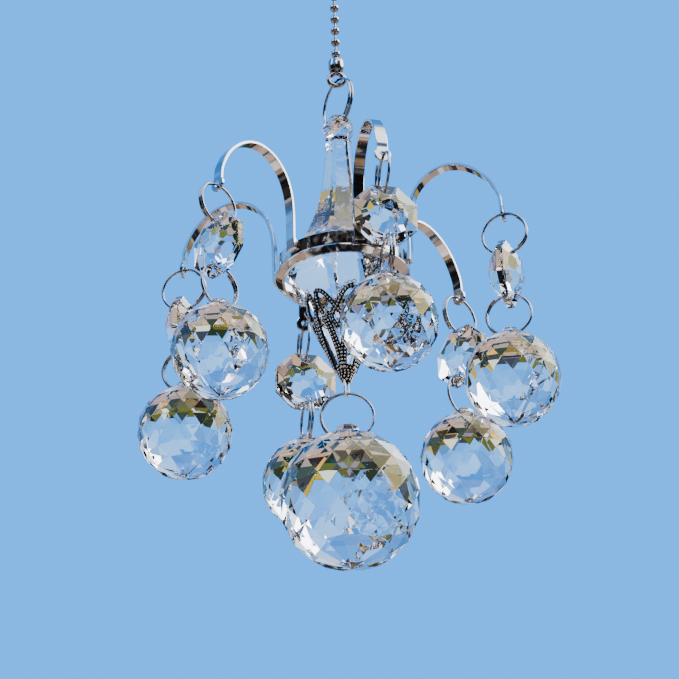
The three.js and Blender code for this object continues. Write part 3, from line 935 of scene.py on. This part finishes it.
TERRACE = [
    (0.0, (0.78, 0.54, 0.42)), (0.30, (0.60, 0.44, 0.38)), (0.55, (0.95, 0.72, 0.60)),
    (0.74, (0.85, 0.48, 0.28)), (0.84, (1.5, 1.3, 1.25)), (0.93, (0.06, 0.045, 0.04)),
]
PAVING = [
    (0.0, (0.50, 0.31, 0.18)), (0.34, (0.03, 0.02, 0.016)), (0.50, (0.90, 0.66, 0.46)),
    (0.66, (0.22, 0.13, 0.07)), (0.80, (2.2, 2.0, 1.8)),
]
SHADE = [
    (0.0, (0.010, 0.009, 0.009)), (0.42, (0.05, 0.042, 0.04)), (0.6, (0.012, 0.012, 0.014)),
    (0.8, (0.14, 0.14, 0.15)), (0.9, (0.02, 0.03, 0.04)), (0.95, (0.9, 0.88, 0.86)),
]
# Bright places round the object: the way to each, the cosine of half its width, and its brightness.
BRIGHT_PLACES = [
    ((0.86, -0.03, 0.51), 0.94, 7.0),
    ((0.12, -0.80, 0.585), 0.972, 6.0),
    ((0.30, -0.30, 0.90), 0.90, 3.4),
]
SEEN_THROUGH_STONE = 0.3  # the share of a bright place that is left through a stone
LENS_BLUE = (0.03, 0.66, 2.1)


def patches(tree, direction, scale, stops):
    """Flat patches of colour: each cell of a Voronoi pattern on the warped direction takes one stop at
    random."""
    warp = tree.noise(direction, scale * 0.8, detail=1.0)
    bent = tree.node("ShaderNodeVectorMath", {"operation": "ADD"}, direction, warp)
    cell = tree.node("ShaderNodeTexVoronoi", {}, Vector=bent, Scale=scale, out="Color")
    pick = tree.node("ShaderNodeSeparateColor", {}, cell, out="Red")
    return tree.node("ShaderNodeValToRGB", {"stops": stops, "flat": True}, pick)


def towards(tree, direction, place):
    """The cosine of the angle between the direction looked in and a place."""
    return tree.node("ShaderNodeVectorMath", {"operation": "DOT_PRODUCT"}, direction, place, out="Value")


def world():
    """A plain pale blue for the lens. Stones and metal see what stands round a garden studio instead. Ahead,
    from high to low, are a sky with clouds, foliage, a dark hedge and a tan terrace. Behind are the open sky,
    shaded eaves with an edge that rises to the right, and paving, with a shade where the lens stands. Three
    bright places stand out, and are dimmer through a stone."""
    sky = bpy.data.worlds.new("studio")
    sky.use_nodes = True
    bpy.context.scene.world = sky
    tree = Tree(sky.node_tree)
    direction = tree.node("ShaderNodeTexCoord", {}, out="Generated")
    rightward, ahead, height = (tree.node("ShaderNodeSeparateXYZ", {}, direction, out=axis) for axis in "XYZ")
    ragged = (tree.noise(direction, 5.0, detail=1.5) - 0.5) * 0.5

    def stacked(lower, upper, edge, raggedness, sharpness=40.0):
        """The lower colour up to a ragged edge at that height, and the upper colour above it."""
        return tree.mix(((height + ragged * raggedness - edge) * sharpness).clamped(), lower, upper)

    air = tree.mix((height * 1.3).clamped(), (0.50, 1.20, 2.2), (0.06, 0.56, 1.7))
    glow = ((towards(tree, direction, (0.62, 0.30, 0.72)) - 0.82) * 5.0).clamped() ** 2.0
    air = tree.mix(glow, air, (1.6, 2.2, 2.9))
    clouded = tree.mix(0.65, air, patches(tree, direction, 3.6, CLOUDS))
    shaded = patches(tree, direction, 6.0, SHADE)
    front = stacked(patches(tree, direction, 7.0, FOLIAGE), clouded, 0.26, 1.0)
    front = stacked(patches(tree, direction, 5.0, HEDGE), front, 0.06, 0.4)
    front = stacked(patches(tree, direction, 3.0, TERRACE), front, -0.16, 0.3)
    eaves = (rightward * 0.25).at_least(-0.08) + 0.53
    back = stacked(shaded, air, eaves, 0.2, sharpness=24.0)
    back = stacked(patches(tree, direction, 4.0, PAVING), back, -0.35, 0.3)
    around = tree.mix(((ahead + 0.05) * 8.0).clamped(), back, front)
    shadow = towards(tree, direction, (0.0, -0.51, -0.86))
    around = tree.mix(((shadow + ragged * 0.3 - 0.84) * 20.0).clamped(), around, shaded)
    through = tree.node("ShaderNodeLightPath", {}, out="Transmission Depth").clamped()
    share = 1.0 - through * (1.0 - SEEN_THROUGH_STONE)
    for place, cosine, white in BRIGHT_PLACES:
        bright = towards(tree, direction, place) + ragged * 0.1 - cosine
        around = tree.mix((bright * 40.0).clamped() * share, around, (white, white, white))
    lens = tree.node("ShaderNodeLightPath", {}, out="Is Camera Ray")
    seen = tree.mix(lens, around, LENS_BLUE)
    tree.node("ShaderNodeOutputWorld", {}, tree.node("ShaderNodeBackground", {}, Color=seen, Strength=1.0))


def lamp(name, place, target, size, power, colour):
    """A soft rectangular light that faces its target, all in metres."""
    data = bpy.data.lights.new(name, "AREA")
    data.shape = "RECTANGLE"
    data.size, data.size_y = size
    data.energy = power
    data.color = colour
    light = bpy.data.objects.new(name, data)
    light.location = place
    light.rotation_euler = (Vector(target) - Vector(place)).to_track_quat("-Z", "Y").to_euler()
    bpy.context.scene.collection.objects.link(light)


camera()
floor()
world()
lamp("window", (0.9, 0.5, 0.9), (0, 0, -0.1), (0.7, 0.7), 12, (1, 0.97, 1))
lamp("fill", (-1.0, -0.4, 1.1), (0, 0, -0.1), (0.5, 0.9), 6, (0.92, 0.96, 1))
